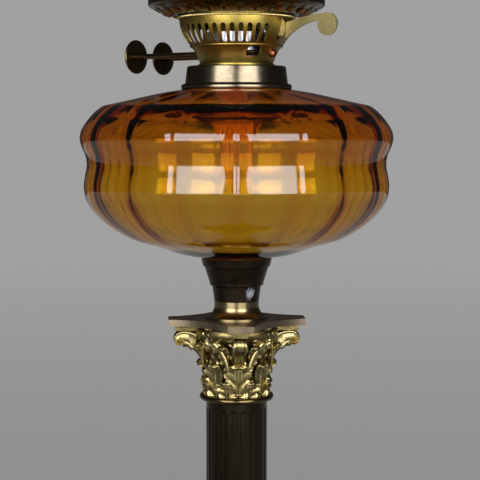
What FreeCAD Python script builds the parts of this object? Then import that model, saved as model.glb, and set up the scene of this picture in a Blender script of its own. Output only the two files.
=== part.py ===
"""A duplex oil lamp on a Corinthian column: stand, lobed glass font, twin-wick burner, gallery and chimney.

Millimetres, +Z up, origin on the table under the column's axis. The plinth and the abacus are square to X and Y.
The burner is built with its extinguisher lever along +X and then turned to its place about Z.
"""

import FreeCAD, Part
import math
import os

os.makedirs("parts", exist_ok=True)

Vector = FreeCAD.Vector
UP = Vector(0, 0, 1)
ORIGIN = Vector(0, 0, 0)

# ---- driving dimensions -------------------------------------------------------------------------------------

BURNER_TURN = 5.5  # degrees from +X to the extinguisher lever
FURROW_AT = -48.5  # degrees from +X to one furrow of the glass font
GAP = 0.3  # between curved faces on bodies that move apart
RUNNING = 0.07  # radial clearance of a shaft in its hole

# Plinth: three steps, a cavetto and a top block.
FELT = 2.0
PLINTH_HALF = 82.5
STEP_IN = 9.0
STEP_RISE = 12.0
PLINTH_TOP = 62.0
TOP_BLOCK_HALF = 52.0
TOP_BLOCK_RISE = 8.0
PLINTH_WALL = 3.0
WEIGHT_HEIGHT = 36.0
COVER = 1.2
SCREW_AT = 68.0
SCREW_R = 2.0

# Column and capital.
COLUMN_R = 17.8
COLUMN_WALL = 2.5
COLUMN_LOW = 84.0
COLUMN_TOP = 298.9
FLUTES = 20
FLUTE_WIDTH = 4.2
FLUTE_DEPTH = 0.6
ASTRAGAL_R = 21.7
CAPITAL_LOW = 302.3
ABACUS_LOW = 343.0
ABACUS_TOP = 346.7
ABACUS_CORNER = 39.85  # from the axis to a cut corner's middle
ABACUS_CUT = 15.0  # length of a cut corner
ABACUS_WAIST = 26.8  # from the axis to the middle of a hollow side
ROD_R = 4.0
ROD_HOLE_R = 4.3
NUT_ACROSS = 13.0
NUT_HEIGHT = 6.5
WASHER_T = 2.5

# Font.
CONE_TOP = 356.8
CUP_TOP = 381.9
CUP_FLOOR = 361.0
PEG_R = 12.5
PEG_LOW = 368.5
LOBES = 16
FURROW_RATIO = 0.972  # furrow radius over crest radius
NECK_R = 25.0
NECK_BORE_R = 22.0
NECK_TOP = 489.0
FONT_SHOULDER = 479.0
COLLAR_TOP = 492.4
COLLAR_BORE_R = 20.8

# Burner.
BASKET_WALL = 0.8
BASKET_LOW = 493.5
BASKET_NECK_R = 31.4
BASKET_NECK_TOP = 528.0
BEAD_RING_R = 34.2
BEAD_RING_LOW = 518.9
BEAD_RING_TOP = 521.1
AIR_SLOTS = 36
AIR_SLOT_PITCH = 9.0  # degrees
AIR_SLOT_WIDTH = 2.8
AIR_SLOT_LOW = 505.0
AIR_SLOT_TOP = 515.3
SIGHT_AT = -29.5  # degrees from the lever to the oval sight hole
SIGHT_Z = 500.3
SIGHT_R = 2.6
SIGHT_HALF = 1.6
LEVER_SLOT_HALF = 1.75
STUD_R = 2.3
STUD_TIP_R = 1.4
STUD_Y = 2.0
STUD_Z = 499.4
DRUM_R = 19.3
DRUM_TOP = 511.3
PLATE_T = 0.7
DIFFUSER_LOW = 519.6
AIR_HOLE_R = 1.1
WICK_WIDTH = 25.4
WICK_T = 2.4
WICK_AT = 6.6  # from the axis to a wick's middle
WICK_LOW = 421.0
WICK_TOP = 546.0
TUBE_WALL = 0.4
TUBE_T = WICK_T + 0.4 + 2 * TUBE_WALL
TUBE_W = WICK_WIDTH + 0.6 + 2 * TUBE_WALL
TUBE_LOW = 486.0
TUBE_TOP = 545.0
SHAFT_R = 1.6
SHAFT_AT = 12.7  # from the axis to a winder shaft
SHAFT_Z = 499.2
DISC_AT = 64.6
DISC_R = 10.0
DISC_T = 1.2
WHEEL_R = 4.6
WHEEL_TEETH = 14
WHEEL_AT = 5.0
WHEEL_T = 1.6

# Extinguisher.
LEVER_T = 1.0
EAR_T = 0.95
PIVOT_X = 31.8
PIVOT_Z = 513.0
PIVOT_R = 0.9
PAD_X = 61.8
PAD_Z = 514.1
PAD_R = 6.3
SLEEVE_GAP = 0.25
SLEEVE_LOW = 523.0
SLEEVE_TOP = 543.0
LUG_LOW = 515.4

# Gallery and chimney.
GALLERY_R = 50.7
GALLERY_T = 0.9
GALLERY_KNEE = 526.4
GALLERY_TOP = 538.0
SHADE_SEAT = 527.6
CHIMNEY_SEAT = 529.0
CHIMNEY_R = 32.0
CHIMNEY_T = 2.0
CHIMNEY_HEIGHT = 250.0
PRONGS = 16


# ---- helpers ------------------------------------------------------------------------------------------------


def outline(points):
    """A closed wire in the X-Z plane through (x, z) points; three-item points end an arc through their middle."""
    edges = []
    here = points[0]
    for point in list(points[1:]) + [points[0]]:
        start = Vector(here[0], 0, here[1])
        if len(point) == 3:
            middle, end = point[1], point[2]
            edges.append(Part.Arc(start, Vector(middle[0], 0, middle[1]), Vector(end[0], 0, end[1])).toShape())
            here = end
        elif (start - Vector(point[0], 0, point[1])).Length > 1e-6:
            edges.append(Part.LineSegment(start, Vector(point[0], 0, point[1])).toShape())
            here = point
    return Part.Wire(edges)


def arc(middle, end):
    """The outline point that ends an arc, with the point that the arc passes through."""
    return ("arc", middle, end)


def turned(points):
    """The solid that an outline makes when it is turned about Z."""
    return Part.Face(outline(points)).revolve(ORIGIN, UP, 360)


def plate(points, thickness):
    """An outline in the X-Z plane made into a plate, centred on the plane."""
    face = Part.Face(outline(points))
    face.translate(Vector(0, -thickness / 2, 0))
    return face.extrude(Vector(0, thickness, 0))


def shell_of(profile, wall):
    """A turned shell: a smooth curve through the profile's points outside, and the same curve moved in by wall."""
    outer = smooth([Vector(r, 0, z) for r, z in profile])
    inner = smooth([Vector(r - wall, 0, z) for r, z in reversed(profile)])
    top = Part.LineSegment(outer.valueAt(outer.LastParameter), inner.valueAt(inner.FirstParameter)).toShape()
    foot = Part.LineSegment(inner.valueAt(inner.LastParameter), outer.valueAt(outer.FirstParameter)).toShape()
    return Part.Face(Part.Wire([outer, top, inner, foot])).revolve(ORIGIN, UP, 360)


def smooth(points):
    curve = Part.BSplineCurve()
    curve.interpolate(points)
    return curve.toShape()


def ring(inner, outer, low, top):
    return turned([(inner, low), (outer, low), (outer, top), (inner, top)])


def block(x, y, z):
    """A box between two limits along each axis."""
    return Part.makeBox(x[1] - x[0], y[1] - y[0], z[1] - z[0], Vector(x[0], y[0], z[0]))


def rod(radius, start, end):
    start, end = Vector(*start), Vector(*end)
    return Part.makeCylinder(radius, (end - start).Length, start, end - start)


def around(shape, count, first=0.0, step=None):
    """Copies of a shape about Z, as a list."""
    step = 360.0 / count if step is None else step
    copies = []
    for i in range(count):
        copy = shape.copy()
        copy.rotate(ORIGIN, UP, first + i * step)
        copies.append(copy)
    return copies


def joined(shapes):
    return shapes[0].multiFuse(shapes[1:]).removeSplitter()


def save(name, shape):
    """Write one node, and stop if a solid in it isn't sound."""
    for solid in shape.Solids:
        if not solid.isValid() or solid.Volume <= 0:
            raise ValueError(f"{name} isn't a valid solid")
    shape.exportStep(f"parts/{name}.step")


def save_burner_part(name, shape):
    """Turn a piece from the lever's own frame to its place, then write it."""
    shape = shape.copy()
    shape.rotate(ORIGIN, UP, BURNER_TURN)
    save(name, shape)


# ---- plinth -------------------------------------------------------------------------------------------------


def square_turned(side):
    """A solid with the same moulding on its four sides, from one side's points going up."""
    points = side + [(-x, z) for x, z in reversed(side)]
    depth = 4 * PLINTH_HALF
    along_y = plate(points, depth)
    along_x = along_y.copy()
    along_x.rotate(ORIGIN, UP, 90)
    return along_y.common(along_x)


def plinth_side(inset, low):
    """One side's steps and cavetto, moved in by an even wall."""
    first = FELT + STEP_RISE - inset
    half = PLINTH_HALF - inset
    side = [(half, low), (half, first), (half - STEP_IN, first), (half - STEP_IN, first + STEP_RISE)]
    side += [(half - 2 * STEP_IN, first + STEP_RISE), (half - 2 * STEP_IN, first + 2 * STEP_RISE)]
    foot = half - 2 * STEP_IN - 2.5
    block_half = TOP_BLOCK_HALF - inset
    low_z, high_z = first + 2 * STEP_RISE, PLINTH_TOP - TOP_BLOCK_RISE - inset
    for i in range(7):
        turn = math.radians(15 * i)
        x = block_half - 2 + (foot - block_half + 2) * (1 - math.sin(turn))
        side.append((x, low_z + (high_z - low_z) * (1 - math.cos(turn))))
    return side + [(block_half, high_z), (block_half, PLINTH_TOP - inset)]


def make_plinth():
    body = square_turned(plinth_side(0, FELT))
    hollow = square_turned(plinth_side(PLINTH_WALL, FELT))
    shell = body.cut(hollow).cut(rod(ROD_HOLE_R, (0, 0, FELT), (0, 0, PLINTH_TOP + 1)))
    cover_low, cover_top = FELT, FELT + COVER
    ceiling = FELT + STEP_RISE - PLINTH_WALL
    bosses = around(rod(5.0, (SCREW_AT, SCREW_AT, cover_top), (SCREW_AT, SCREW_AT, ceiling + 1)), 4)
    screw = rod(SCREW_R, (SCREW_AT, SCREW_AT, cover_low), (SCREW_AT, SCREW_AT, ceiling - 1.5))
    head = Part.makeCone(SCREW_R + COVER, SCREW_R, COVER, Vector(SCREW_AT, SCREW_AT, cover_low))
    screws = around(screw.fuse(head), 4)
    screw_tool = Part.makeCompound(screws)
    inner_half = PLINTH_HALF - PLINTH_WALL - GAP
    cover = block((-inner_half, inner_half), (-inner_half, inner_half), (cover_low, cover_top))
    felt_half = PLINTH_HALF - 0.5
    save("base_plinth", joined([shell] + bosses).cut(screw_tool))
    save("base_cover", cover.cut(screw_tool))
    save("base_cover_screws", screw_tool)
    save("base_felt", block((-felt_half, felt_half), (-felt_half, felt_half), (0, FELT)))


def hexagon(across, low, top):
    first = Vector(across / math.sqrt(3), 0, low)
    corners = [FreeCAD.Rotation(UP, 60 * i).multVec(first) for i in range(6)]
    return Part.Face(Part.makePolygon(corners + corners[:1])).extrude(Vector(0, 0, top - low))


def make_stack():
    """What the tie rod pulls together: weight, washer, nuts, and the rod itself."""
    half = TOP_BLOCK_HALF - PLINTH_WALL - 2.5
    top = PLINTH_TOP - PLINTH_WALL
    weight_low = top - WEIGHT_HEIGHT
    washer_low = weight_low - WASHER_T
    nut_low = washer_low - NUT_HEIGHT
    hole = rod(ROD_HOLE_R, (0, 0, weight_low - 1), (0, 0, top + 1))
    save("base_weight", block((-half, half), (-half, half), (weight_low, top)).cut(hole))
    save("tie_rod_washer", ring(ROD_HOLE_R, 14.0, washer_low, weight_low))
    nuts = [hexagon(NUT_ACROSS, nut_low, washer_low), hexagon(NUT_ACROSS, CUP_FLOOR, CUP_FLOOR + NUT_HEIGHT)]
    bore = rod(ROD_R, (0, 0, 0), (0, 0, FONT_SHOULDER))
    save("tie_rod_nuts", Part.makeCompound([nut.cut(bore) for nut in nuts]))
    save("tie_rod", rod(ROD_R, (0, 0, nut_low - 3), (0, 0, CUP_FLOOR + NUT_HEIGHT + 0.2)))


# ---- column and capital -------------------------------------------------------------------------------------


def make_column():
    foot = [(ROD_HOLE_R, PLINTH_TOP), (28, PLINTH_TOP), arc((31.8, 66), (28, 70)), (26, 70), (26, 71.5)]
    foot += [arc((22.3, 73.4), (22.3, 76.2)), (23, 76.2), arc((25.4, 79), (23, 81.8)), (20.4, 81.8)]
    foot += [(20.4, COLUMN_LOW), (ROD_HOLE_R, COLUMN_LOW)]
    save("column_base", turned(foot))

    tube = ring(COLUMN_R - COLUMN_WALL, COLUMN_R, COLUMN_LOW, COLUMN_TOP)
    cutter_r = (FLUTE_WIDTH**2 / 4 + FLUTE_DEPTH**2) / (2 * FLUTE_DEPTH)
    centre = COLUMN_R - FLUTE_DEPTH + cutter_r
    low, top = COLUMN_LOW + 8, COLUMN_TOP - 6
    flute = rod(cutter_r, (centre, 0, low), (centre, 0, top))
    ends = [Part.makeSphere(cutter_r, Vector(centre, 0, z)) for z in (low, top)]
    flute = joined([flute] + ends)
    save("column_shaft", tube.cut(around(flute, FLUTES, 180.0 / FLUTES - 45)))

    middle = (COLUMN_TOP + CAPITAL_LOW) / 2
    edge = ASTRAGAL_R - (CAPITAL_LOW - COLUMN_TOP) / 2
    bead = [(ROD_HOLE_R, COLUMN_TOP), (edge, COLUMN_TOP), arc((ASTRAGAL_R, middle), (edge, CAPITAL_LOW))]
    save("astragal_ring", turned(bead + [(ROD_HOLE_R, CAPITAL_LOW)]))


def leaf_ring(low, tip_r, tip_z, root_r, spread, first):
    """Eight curled leaves: a turned lip, kept only within eight wedges."""
    lip = [(root_r - 1, low), (root_r + 0.8, low), (root_r + 1.2, tip_z - 6)]
    lip += [arc((tip_r - 1, tip_z - 2.6), (tip_r, tip_z - 1)), arc((tip_r - 0.4, tip_z), (tip_r - 1.2, tip_z - 0.4))]
    lip += [(root_r - 1, tip_z - 3)]
    reach = 40.0
    half = reach * math.tan(math.radians(spread / 2))
    corners = [Vector(0, 0, low), Vector(reach, -half, low), Vector(reach, half, low), Vector(0, 0, low)]
    wedge = Part.Face(Part.makePolygon(corners)).extrude(Vector(0, 0, tip_z - low + 1))
    return [turned(lip).common(w) for w in around(wedge, 8, first)]


def make_capital():
    bell = [(ROD_HOLE_R, CAPITAL_LOW), (17.4, CAPITAL_LOW), (17.2, 308), arc((18.0, 322), (22.8, 335))]
    bell += [(23.4, 339), (21.0, 339), (21.0, ABACUS_LOW), (ROD_HOLE_R, ABACUS_LOW)]
    pieces = [turned(bell)]
    pieces += leaf_ring(CAPITAL_LOW, 20.9, 311.5, 17.2, 30, 22.5)
    pieces += leaf_ring(CAPITAL_LOW, 22.8, 322.0, 17.4, 34, 0)
    scroll = [(18, 322), (20, 321), arc((24.5, 329), (30.0, 331.2)), arc((36.0, 335), (30.5, 339.5)), (32.0, ABACUS_LOW)]
    scroll += [(20, ABACUS_LOW)]
    pieces += around(plate(scroll, 7.5), 4, 45)
    pieces += around(rod(4.0, (31.6, -4.55, 335), (31.6, 4.55, 335)), 4, 45)
    pieces += around(rod(3.5, (20, 0, 337), (27.0, 0, 337)), 4)
    save("capital", joined(pieces))

    half_cut = ABACUS_CUT / 2
    near = Vector(ABACUS_CORNER, -half_cut, ABACUS_LOW)
    corners = []
    for i in range(4):
        turn = FreeCAD.Rotation(UP, 45 + 90 * i)
        corners.append((turn.multVec(near), turn.multVec(Vector(near.x, half_cut, near.z))))
    edges = []
    for i in range(4):
        (start, end), following = corners[i], corners[(i + 1) % 4]
        waist = FreeCAD.Rotation(UP, 90 + 90 * i).multVec(Vector(ABACUS_WAIST, 0, ABACUS_LOW))
        edges.append(Part.LineSegment(start, end).toShape())
        edges.append(Part.Arc(end, waist, following[0]).toShape())
    slab = Part.Face(Part.Wire(edges)).extrude(Vector(0, 0, ABACUS_TOP - ABACUS_LOW))
    save("abacus_plate", slab.cut(rod(ROD_HOLE_R, (0, 0, ABACUS_LOW - 1), (0, 0, ABACUS_TOP + 1))))


# ---- font ---------------------------------------------------------------------------------------------------


def make_font_mount():
    cone = [(ROD_HOLE_R, ABACUS_TOP), (18.3, ABACUS_TOP), (18.3, 347.6), arc((14.6, 349.6), (13.1, 353.2))]
    cone += [(13.0, CONE_TOP), (ROD_HOLE_R, CONE_TOP)]
    save("pedestal_cone", turned(cone))

    wall_r = PEG_R + 1.8
    cup = [(ROD_HOLE_R, CONE_TOP), (13.0, CONE_TOP), (14.2, 365.4), (15.6, 366.2), (15.9, 368.2), (18.3, 375.8)]
    cup += [(18.6, 376.7), (19.6, 377.4), (20.6, CUP_TOP), (wall_r, CUP_TOP), (wall_r, PEG_LOW - 0.6)]
    cup += [(8.5, PEG_LOW - 0.6), (8.5, CUP_FLOOR), (ROD_HOLE_R, CUP_FLOOR)]
    save("font_mount_cup", turned(cup))

    bed = [(0, PEG_LOW - 0.6), (wall_r, PEG_LOW - 0.6), (wall_r, CUP_TOP), (PEG_R, CUP_TOP), (PEG_R, PEG_LOW)]
    save("plaster_bed", turned(bed + [(0, PEG_LOW)]))


def lobed_wire(crest, z):
    """A ring of shallow arcs that meet at furrows."""
    furrow = crest * FURROW_RATIO
    pitch = 360.0 / LOBES

    def at(radius, degrees):
        turn = math.radians(degrees)
        return Vector(radius * math.cos(turn), radius * math.sin(turn), z)

    edges = []
    for i in range(LOBES):
        start = FURROW_AT + i * pitch
        lobe = Part.Arc(at(furrow, start), at(crest, start + pitch / 2), at(furrow, start + pitch))
        edges.append(lobe.toShape())
    return Part.Wire(edges)


def make_font():
    crests = [(21.3, 382.4), (32.5, 384.3), (44.4, 388.5), (59.0, 392.7), (66.8, 396.4), (74.7, 401.6), (80.6, 407.0)]
    crests += [(85.0, 412.6), (87.0, 417.6), (88.5, 423.0), (87.6, 430.0), (86.1, 435.5), (86.6, 441.0), (88.5, 444.8)]
    crests += [(90.9, 450.0), (88.6, 456.5), (83.5, 463.5), (77.4, 468.6), (69.9, 471.2), (43.8, 477.0)]
    crests += [(31.5, FONT_SHOULDER)]
    body = Part.makeLoft([lobed_wire(crest, z) for crest, z in crests], True, True)
    peg = rod(PEG_R, (0, 0, PEG_LOW), (0, 0, 386))
    neck = rod(NECK_R, (0, 0, FONT_SHOULDER - 4), (0, 0, NECK_TOP))
    hollow = [(0, 388), (28, 389.5), (40, 392.5), (55, 397.5), (63, 401.5), (70.5, 407), (76.5, 412.6), (80.2, 418)]
    hollow += [(81.6, 424), (79.4, 435.5), (81.6, 444.5), (83.5, 450.5), (81.0, 456.5), (76.0, 462), (70, 465.5)]
    hollow += [(60, 468.2), (42, 472.2), (30, 474.6), (NECK_BORE_R, 476), (NECK_BORE_R, NECK_TOP + 1), (0, NECK_TOP + 1)]
    save("font_glass", joined([body, peg, neck]).cut(turned(hollow)))

    plaster_r = 27.4
    save("collar_plaster", ring(NECK_R, plaster_r, FONT_SHOULDER + 0.3, NECK_TOP))
    inner_ring = ring(COLLAR_BORE_R, NECK_BORE_R, 485.0, COLLAR_TOP - 1)
    cap = [(plaster_r, FONT_SHOULDER), (31.4, FONT_SHOULDER), arc((31.9, 480.5), (31.4, 482)), (29.6, 482.6)]
    cap += [(28.5, 491.6), arc((28.2, 492.2), (27.6, COLLAR_TOP)), (COLLAR_BORE_R, COLLAR_TOP)]
    cap += [(COLLAR_BORE_R, NECK_TOP), (plaster_r, NECK_TOP)]
    save("font_collar", turned(cap).fuse(inner_ring))


# ---- burner -------------------------------------------------------------------------------------------------


BASKET = [(20.9, BASKET_LOW), (22.2, 497.0), (24.4, 501.4), (27.1, 504.9), (29.6, 508.4), (31.5, 512.0)]
BASKET += [(32.4, 515.2), (33.0, BEAD_RING_LOW)]


def along_shaft(side, radius, start, end):
    """A rod on a winder's axis: side is -1 for the near one and 1 for the far one."""
    y = side * SHAFT_AT
    return rod(radius, (start, y, SHAFT_Z), (end, y, SHAFT_Z))


def make_basket():
    shell = shell_of(BASKET, BASKET_WALL)
    neck = ring(BASKET_NECK_R - BASKET_WALL, BASKET_NECK_R, BEAD_RING_LOW, BASKET_NECK_TOP)
    step = ring(BASKET_NECK_R - BASKET_WALL, 33.0, BEAD_RING_LOW, BEAD_RING_LOW + 1.0)
    half = AIR_SLOT_WIDTH / 2
    slot = block((DRUM_R + 2, 40), (-half, half), (AIR_SLOT_LOW + half, AIR_SLOT_TOP - half))
    ends = [rod(half, (DRUM_R + 2, 0, z), (40, 0, z)) for z in (AIR_SLOT_LOW + half, AIR_SLOT_TOP - half)]
    slots = around(joined([slot] + ends), AIR_SLOTS, 2.5 * AIR_SLOT_PITCH, AIR_SLOT_PITCH)
    # The lever's slot, the sight hole by the near shaft's end, and the holes for the shafts and the stud.
    cuts = slots + [block((24, 40), (-LEVER_SLOT_HALF, LEVER_SLOT_HALF), (506.6, 518.4))]
    sight = [rod(SIGHT_R, (15, y, SIGHT_Z), (40, y, SIGHT_Z)) for y in (-SIGHT_HALF, SIGHT_HALF)]
    sight += [block((15, 40), (-SIGHT_HALF, SIGHT_HALF), (SIGHT_Z - SIGHT_R, SIGHT_Z + SIGHT_R))]
    cuts += around(joined(sight), 1, SIGHT_AT)
    cuts += [along_shaft(side, SHAFT_R + RUNNING, -40, 0) for side in (-1, 1)]
    cuts += [along_shaft(-1, SHAFT_R + 0.6, 0, 40), rod(STUD_R, (15, STUD_Y, STUD_Z), (40, STUD_Y, STUD_Z))]
    save_burner_part("burner_basket", joined([shell, neck, step]).cut(cuts))

    shank = rod(STUD_R, (21.4, STUD_Y, STUD_Z), (24.6, STUD_Y, STUD_Z))
    tip = Part.makeCone(STUD_R, STUD_TIP_R, 1.3, Vector(24.6, STUD_Y, STUD_Z), Vector(1, 0, 0))
    save_burner_part("copper_stud", joined([shank, tip]))

    bead = [(33.0, BEAD_RING_LOW), (33.6, BEAD_RING_LOW), arc((BEAD_RING_R, 520), (33.6, BEAD_RING_TOP))]
    bead += [(BASKET_NECK_R, BEAD_RING_TOP), (BASKET_NECK_R, BEAD_RING_LOW + 1.0), (33.0, BEAD_RING_LOW + 1.0)]
    save_burner_part("basket_bead_ring", turned(bead))

    ears = []
    for side in (-1, 1):
        ear = [(28.4, 509.2), (33.4, 508.6), (34.3, 511.0), (34.3, 516.5), (33.0, 518.3), (30.0, 518.3), (28.4, 516.0)]
        ear = plate(ear, EAR_T)
        ear.translate(Vector(0, side * (LEVER_SLOT_HALF - EAR_T / 2), 0))
        ears.append(ear.cut(rod(PIVOT_R, (PIVOT_X, -5, PIVOT_Z), (PIVOT_X, 5, PIVOT_Z))))
    save_burner_part("lever_bracket", Part.makeCompound(ears))
    save_burner_part("lever_pin", rod(PIVOT_R, (PIVOT_X, -1.7, PIVOT_Z), (PIVOT_X, 1.7, PIVOT_Z)))


def wick_slot(side, thickness, width, low, top):
    """A flat box on one wick's plane."""
    y = side * WICK_AT
    return block((-width / 2, width / 2), (y - thickness / 2, y + thickness / 2), (low, top))


def make_burner_core():
    thread = ring(18.9, COLLAR_BORE_R - 0.1, 484.5, COLLAR_TOP)
    flange = ring(18.9, 22.0, COLLAR_TOP + 0.05, BASKET_LOW)
    link = ring(18.9, COLLAR_BORE_R - 0.1, COLLAR_TOP - 0.5, BASKET_LOW)
    save_burner_part("burner_base", joined([thread, link, flange]))

    outers = [wick_slot(side, TUBE_T, TUBE_W, TUBE_LOW - 1, TUBE_TOP + 1) for side in (-1, 1)]
    floor = Part.makeCylinder(20.0, PLATE_T, Vector(0, 0, BASKET_LOW))
    save_burner_part("tube_plate", floor.cut(outers))
    for name, side in (("near", -1), ("far", 1)):
        tube = wick_slot(side, TUBE_T, TUBE_W, TUBE_LOW, TUBE_TOP)
        tube = tube.cut(wick_slot(side, WICK_T + 0.4, WICK_WIDTH + 0.6, TUBE_LOW - 1, TUBE_TOP + 1))
        outer_y = side * (WICK_AT + TUBE_T / 2)
        for x in (-WHEEL_AT, WHEEL_AT):
            window = block((x - 1.4, x + 1.4), sorted((outer_y - side * 1.0, outer_y + side)), (493.6, 504.8))
            tube = tube.cut(window)
        save_burner_part(f"{name}_wick_tube", tube)

    drum = ring(DRUM_R - 0.5, DRUM_R, BASKET_LOW + PLATE_T, DRUM_TOP)
    save_burner_part("inner_drum", drum.cut([along_shaft(side, 2.6, -40, 40) for side in (-1, 1)]))
    bushes = []
    for side in (-1, 1):
        for low, top in ((-15.6, -13.4), (13.4, 15.6)):
            bush = along_shaft(side, 2.6, low, top)
            bushes.append(bush.cut(along_shaft(side, SHAFT_R + RUNNING, low - 1, top + 1)))
    save_burner_part("winder_bushes", Part.makeCompound(bushes))

    low, top = DIFFUSER_LOW - 1, DIFFUSER_LOW + 1
    diffuser = Part.makeCylinder(BASKET_NECK_R - BASKET_WALL, PLATE_T, Vector(0, 0, DIFFUSER_LOW))
    centre_hole = block((-14.8, 18.8), (-9.8, 9.8), (low, top))
    lever_way = block((18, 24.6), (-1.3, 1.3), (low, top))
    holes = []
    for radius, count in ((22.4, 22), (26.0, 28), (29.0, 34)):
        hole = rod(AIR_HOLE_R, (radius, 0, low), (radius, 0, top))
        holes += around(hole, count, 180.0 / count)
    save_burner_part("air_diffuser", diffuser.cut(holes + [centre_hole, lever_way]))

    base_z = DIFFUSER_LOW + PLATE_T
    outer = [(27.4, base_z), (27.4, 526.5), arc((21.5, 542.5), (8, 549.6)), (0, 550.6)]
    inner = [(0, 550.0), (7.8, 549.0), arc((21.0, 542.0), (26.8, 526.5)), (26.8, base_z)]
    dome = turned(outer + inner)
    mouths = [wick_slot(side, 6.0, 30.4, 530, 560) for side in (-1, 1)]
    save_burner_part("flame_spreader", dome.cut(mouths))


def toothed_wheel(side, x):
    """A spiked wheel on a winder's shaft."""
    points = []
    for i in range(2 * WHEEL_TEETH):
        radius = WHEEL_R if i % 2 == 0 else WHEEL_R - 1.1
        turn = math.pi * i / WHEEL_TEETH
        points.append(Vector(x, side * SHAFT_AT + radius * math.cos(turn), SHAFT_Z + radius * math.sin(turn)))
    wheel = Part.Face(Part.makePolygon(points + points[:1])).extrude(Vector(WHEEL_T, 0, 0))
    wheel.translate(Vector(-WHEEL_T / 2, 0, 0))
    return wheel.cut(along_shaft(side, SHAFT_R, x - 5, x + 5))


def make_winders():
    for name, side, end in (("near", -1, 22.8), ("far", 1, 16.2)):
        shaft = along_shaft(side, SHAFT_R, -DISC_AT, end)
        wheels = [toothed_wheel(side, x) for x in (-WHEEL_AT, WHEEL_AT)]
        disc = along_shaft(side, DISC_R, -DISC_AT - DISC_T / 2, -DISC_AT + DISC_T / 2)
        rims = [edge for edge in disc.Edges if abs(edge.Length - 2 * math.pi * DISC_R) < 1e-3]
        disc = disc.makeFillet(DISC_T * 0.42, rims)
        boss = along_shaft(side, SHAFT_R + 0.7, -DISC_AT, -DISC_AT + 2.4)
        disc = disc.fuse(boss).cut(along_shaft(side, SHAFT_R, -DISC_AT, 0)).removeSplitter()
        save_burner_part(f"{name}_winder_shaft", shaft)
        save_burner_part(f"{name}_winder_disc", disc)
        save_burner_part(f"{name}_wick_wheels", Part.makeCompound(wheels))
        save_burner_part(f"{name}_wick", wick_slot(side, WICK_T, WICK_WIDTH, WICK_LOW, WICK_TOP))


def make_extinguisher():
    pad_left = PAD_X - PAD_R
    blade = [(34.6, 506.9), arc((43.0, 512.6), (pad_left + 0.3, 516.2)), (PAD_X, PAD_Z), (PAD_X, PAD_Z + PAD_R)]
    blade += [(56.5, 520.1), arc((46.0, 518.6), (34.6, 516.0)), (33.2, 514.8), (29.0, 515.0), (15.6, LUG_LOW - GAP)]
    blade += [(15.4, LUG_LOW - GAP - 1.6), (28.0, 512.0), (30.2, 511.0), (33.4, 510.8)]
    pad = rod(PAD_R, (PAD_X, -LEVER_T / 2, PAD_Z), (PAD_X, LEVER_T / 2, PAD_Z))
    hole = rod(PIVOT_R + RUNNING, (PIVOT_X, -5, PIVOT_Z), (PIVOT_X, 5, PIVOT_Z))
    save_burner_part("extinguisher_lever", joined([plate(blade, LEVER_T), pad]).cut(hole))

    inner_t, inner_w = TUBE_T + 2 * SLEEVE_GAP, TUBE_W + 2 * SLEEVE_GAP
    outer_t, outer_w = inner_t + 2 * TUBE_WALL, inner_w + 2 * TUBE_WALL
    sleeves = []
    for side in (-1, 1):
        sleeve = wick_slot(side, outer_t, outer_w, SLEEVE_LOW, SLEEVE_TOP)
        sleeves.append(sleeve.cut(wick_slot(side, inner_t, inner_w, SLEEVE_LOW - 1, SLEEVE_TOP + 1)))
    bridge = block((outer_w / 2 - TUBE_WALL, outer_w / 2), (-WICK_AT, WICK_AT), (SLEEVE_LOW, SLEEVE_LOW + 8))
    lug = block((outer_w / 2 - TUBE_WALL, outer_w / 2 + 0.4), (-2, 2), (LUG_LOW, SLEEVE_LOW + 6))
    toe = block((outer_w / 2 - TUBE_WALL, 18.0), (-2, 2), (LUG_LOW, LUG_LOW + 0.8))
    save_burner_part("extinguisher_sleeves", joined(sleeves + [bridge, lug, toe]))


# ---- gallery and chimney ------------------------------------------------------------------------------------


def make_gallery():
    bore = BASKET_NECK_R + GAP + 0.1
    t = GALLERY_T
    pan = [(bore, 521.5), (34.6, 521.4), (44.2, 523.9), arc((48.3, 525.2), (GALLERY_R - 0.5, GALLERY_KNEE))]
    pan += [(GALLERY_R, GALLERY_KNEE + 0.6), (GALLERY_R, GALLERY_TOP - 1.0)]
    pan += [arc((GALLERY_R + 0.8, GALLERY_TOP - 0.5), (GALLERY_R, GALLERY_TOP))]
    pan += [arc((GALLERY_R - 0.9, GALLERY_TOP - 0.1), (GALLERY_R - t, GALLERY_TOP - 0.8))]
    pan += [(GALLERY_R - t, SHADE_SEAT), (46.4, SHADE_SEAT)]
    pan += [(43.8, 524.8), (34.8, 522.4), (bore + t, 522.6), (bore + t, CHIMNEY_SEAT), (29.2, CHIMNEY_SEAT)]
    pan += [(29.2, CHIMNEY_SEAT - 0.7), (bore, CHIMNEY_SEAT - 0.7)]
    save_burner_part("gallery", turned(pan))

    inner = bore + t
    band = ring(inner, inner + 0.6, 523.4, 531.0)
    prong = [(inner, 530.5), (inner + 0.6, 530.5), (inner + 0.6, 544.0), (inner + 2.2, 548.2), (inner + 1.8, 548.5)]
    prong += [(inner + 0.05, 544.2)]
    half = 4.1
    wedge = block((20, 45), (-half, half), (530.0, 550.0))
    prongs = [turned(prong).common(w) for w in around(wedge, PRONGS, 180.0 / PRONGS)]
    save_burner_part("chimney_holder", joined([band] + prongs))


def make_chimney():
    low = CHIMNEY_SEAT + GAP
    top = low + CHIMNEY_HEIGHT
    profile = [(CHIMNEY_R, low), (CHIMNEY_R, low + 18), (34.5, low + 28), (38.5, low + 46), (37.5, low + 68)]
    profile += [(31.0, low + 100), (26.0, low + 140), (23.6, low + 190), (23.0, top)]
    save("chimney_glass", shell_of(profile, CHIMNEY_T))


make_plinth()
make_stack()
make_column()
make_capital()
make_font_mount()
make_font()
make_basket()
make_burner_core()
make_winders()
make_extinguisher()
make_gallery()
make_chimney()
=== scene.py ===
import bmesh
import bpy
import math
from mathutils import Matrix, Vector


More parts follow.
